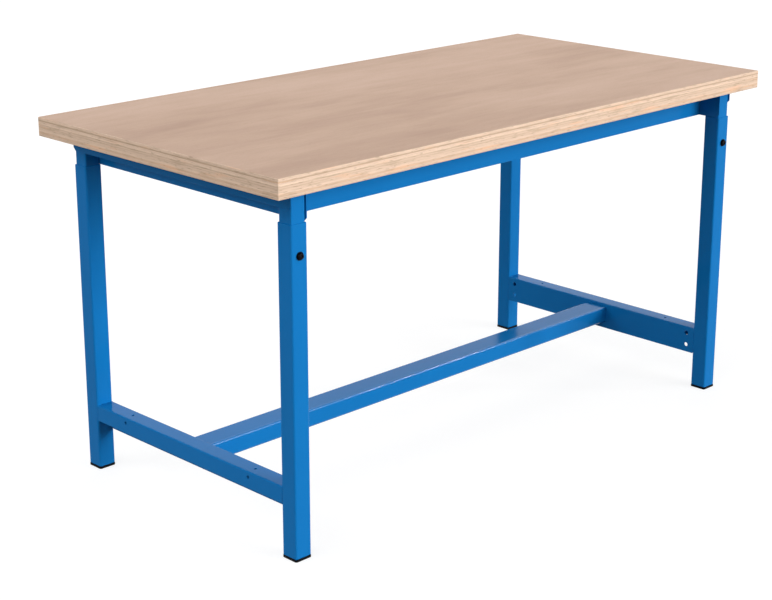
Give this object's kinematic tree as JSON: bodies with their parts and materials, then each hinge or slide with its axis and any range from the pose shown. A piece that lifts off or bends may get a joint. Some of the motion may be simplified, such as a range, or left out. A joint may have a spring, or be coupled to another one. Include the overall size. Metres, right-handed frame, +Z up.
{
  "type": "height-adjustable workbench",
  "caption": "Workbench with a beech multiplex worktop on a blue frame of square tubes and folded sheet. Inner legs slide up in the outer legs and are clamped by screws.",
  "frame": {"origin": "on the floor under the centre of the worktop", "axes": "+X along the length of the worktop, to the right seen from the front; +Y from the front to the rear; +Z up"},
  "size_m": [1.5, 0.75, 0.783],
  "materials": {
    "beech_multiplex": "satin clear oil",
    "blue_powder_coat": "smooth semi-gloss powder coat",
    "black_plastic": "moulded",
    "black_steel": "black oxide",
    "zinc_plated_steel": "zinc plated"
  },
  "bodies": {
    "lower_frame": {"outer_leg_front_left": "blue_powder_coat", "outer_leg_front_right": "blue_powder_coat", "outer_leg_rear_left": "blue_powder_coat", "outer_leg_rear_right": "blue_powder_coat", "lower_side_rail_left": "blue_powder_coat", "lower_side_rail_right": "blue_powder_coat", "stretcher": "blue_powder_coat", "foot_cap_front_left": "black_plastic", "foot_cap_front_right": "black_plastic", "foot_cap_rear_left": "black_plastic", "foot_cap_rear_right": "black_plastic", "clamp_nut_front_left": "zinc_plated_steel", "clamp_nut_front_right": "zinc_plated_steel", "clamp_nut_rear_left": "zinc_plated_steel", "clamp_nut_rear_right": "zinc_plated_steel", "stretcher_plate_left": "blue_powder_coat", "stretcher_plate_right": "blue_powder_coat", "stretcher_bolt_left_1": "black_steel", "stretcher_bolt_left_2": "black_steel", "stretcher_bolt_right_1": "black_steel", "stretcher_bolt_right_2": "black_steel"},
    "upper_frame": {"worktop": "beech_multiplex", "inner_leg_front_left": "blue_powder_coat", "inner_leg_front_right": "blue_powder_coat", "inner_leg_rear_left": "blue_powder_coat", "inner_leg_rear_right": "blue_powder_coat", "upper_side_rail_left": "blue_powder_coat", "upper_side_rail_right": "blue_powder_coat", "upper_long_rail_front": "blue_powder_coat", "upper_long_rail_rear": "blue_powder_coat", "long_rail_plate_front_left": "blue_powder_coat", "long_rail_plate_front_right": "blue_powder_coat", "long_rail_plate_rear_left": "blue_powder_coat", "long_rail_plate_rear_right": "blue_powder_coat", "long_rail_bolt_left_1": "black_steel", "long_rail_bolt_left_2": "black_steel", "long_rail_bolt_left_3": "black_steel", "long_rail_bolt_left_4": "black_steel", "long_rail_bolt_right_1": "black_steel", "long_rail_bolt_right_2": "black_steel", "long_rail_bolt_right_3": "black_steel", "long_rail_bolt_right_4": "black_steel", "worktop_screw_1": "zinc_plated_steel", "worktop_screw_2": "zinc_plated_steel", "worktop_screw_3": "zinc_plated_steel", "worktop_screw_4": "zinc_plated_steel", "worktop_screw_5": "zinc_plated_steel", "worktop_screw_6": "zinc_plated_steel", "worktop_screw_7": "zinc_plated_steel", "worktop_screw_8": "zinc_plated_steel"},
    "washer_front_left": {"lock_washer_front_left": "black_steel"},
    "screw_front_left": {"lock_screw_front_left": "black_steel"},
    "washer_front_right": {"lock_washer_front_right": "black_steel"},
    "screw_front_right": {"lock_screw_front_right": "black_steel"},
    "washer_rear_left": {"lock_washer_rear_left": "black_steel"},
    "screw_rear_left": {"lock_screw_rear_left": "black_steel"},
    "washer_rear_right": {"lock_washer_rear_right": "black_steel"},
    "screw_rear_right": {"lock_screw_rear_right": "black_steel"}
  },
  "joints": [
    {"name": "height_slide", "type": "slide", "parent": "lower_frame", "child": "upper_frame", "axis": [0, 0, 1], "range_m": [0, 0.3]},
    {"name": "lock_travel_front_left", "type": "slide", "parent": "lower_frame", "child": "washer_front_left", "axis": [0, -1, 0], "range_m": [0, 0.0025]},
    {"name": "lock_turn_front_left", "type": "hinge", "parent": "washer_front_left", "child": "screw_front_left", "pos_m": [-0.67, -0.34, 0.6169], "axis": [0, -1, 0], "range_deg": [0, 720]},
    {"name": "lock_travel_front_right", "type": "slide", "parent": "lower_frame", "child": "washer_front_right", "axis": [0, -1, 0], "range_m": [0, 0.0025]},
    {"name": "lock_turn_front_right", "type": "hinge", "parent": "washer_front_right", "child": "screw_front_right", "pos_m": [0.67, -0.34, 0.6169], "axis": [0, -1, 0], "range_deg": [0, 720]},
    {"name": "lock_travel_rear_left", "type": "slide", "parent": "lower_frame", "child": "washer_rear_left", "axis": [0, 1, 0], "range_m": [0, 0.0025]},
    {"name": "lock_turn_rear_left", "type": "hinge", "parent": "washer_rear_left", "child": "screw_rear_left", "pos_m": [-0.67, 0.34, 0.6169], "axis": [0, 1, 0], "range_deg": [0, 720]},
    {"name": "lock_travel_rear_right", "type": "slide", "parent": "lower_frame", "child": "washer_rear_right", "axis": [0, 1, 0], "range_m": [0, 0.0025]},
    {"name": "lock_turn_rear_right", "type": "hinge", "parent": "washer_rear_right", "child": "screw_rear_right", "pos_m": [0.67, 0.34, 0.6169], "axis": [0, 1, 0], "range_deg": [0, 720]}
  ],
  "couplings": [
    {"joint": "lock_travel_front_left", "follows": "lock_turn_front_left", "m_per_rad": 0.00019894},
    {"joint": "lock_travel_front_right", "follows": "lock_turn_front_right", "m_per_rad": 0.00019894},
    {"joint": "lock_travel_rear_left", "follows": "lock_turn_rear_left", "m_per_rad": 0.00019894},
    {"joint": "lock_travel_rear_right", "follows": "lock_turn_rear_right", "m_per_rad": 0.00019894}
  ]
}
